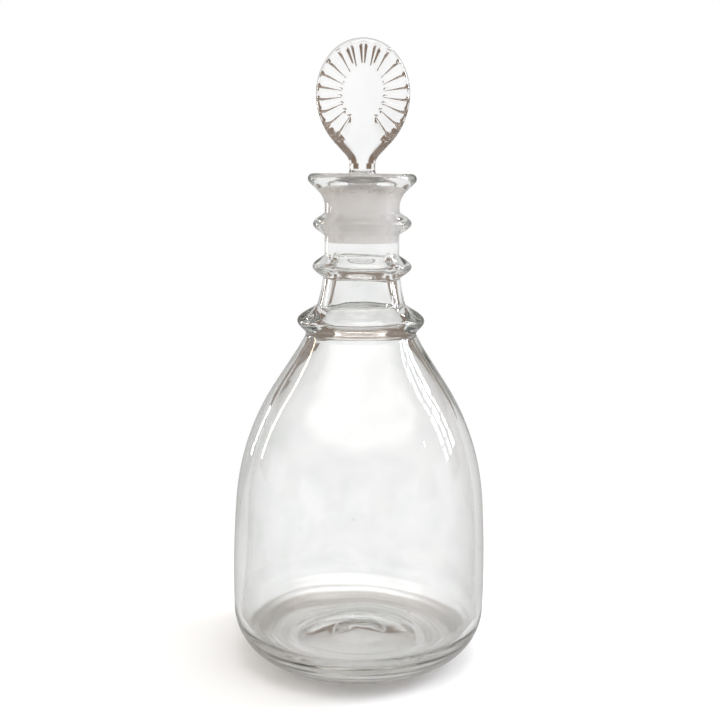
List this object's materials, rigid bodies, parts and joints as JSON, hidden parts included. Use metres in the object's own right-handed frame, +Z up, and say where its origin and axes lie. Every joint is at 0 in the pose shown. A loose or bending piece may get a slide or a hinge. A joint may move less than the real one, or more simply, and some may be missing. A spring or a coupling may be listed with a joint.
{
  "type": "decanter",
  "caption": "Clear glass decanter with a broad round-shouldered body, ringed neck and flared lip, closed by a lift-out ground stopper with a flat fluted head; stores and pours drinks.",
  "frame": {"origin": "middle of the base, on the plane that the decanter stands on", "axes": "+Z up along the decanter's axis; the flat faces of the stopper's head look to -Y (front) and +Y"},
  "size_m": [0.1108, 0.1108, 0.2659],
  "materials": {
    "vessel_glass": "clear, fire-polished, ground inside the neck",
    "ring_glass": "clear, fire-polished",
    "stopper_glass": "clear head and stem, ground peg"
  },
  "bodies": {
    "vessel": {"decanter_body": "vessel_glass", "neck_lower_ring": "ring_glass", "neck_middle_ring": "ring_glass", "neck_upper_ring": "ring_glass"},
    "stopper": {"stopper": "stopper_glass"}
  },
  "joints": [
    {"name": "stopper_lift", "type": "slide", "parent": "vessel", "child": "stopper", "axis": [0, 0, 1], "range_m": [0, 0.06]}
  ]
}
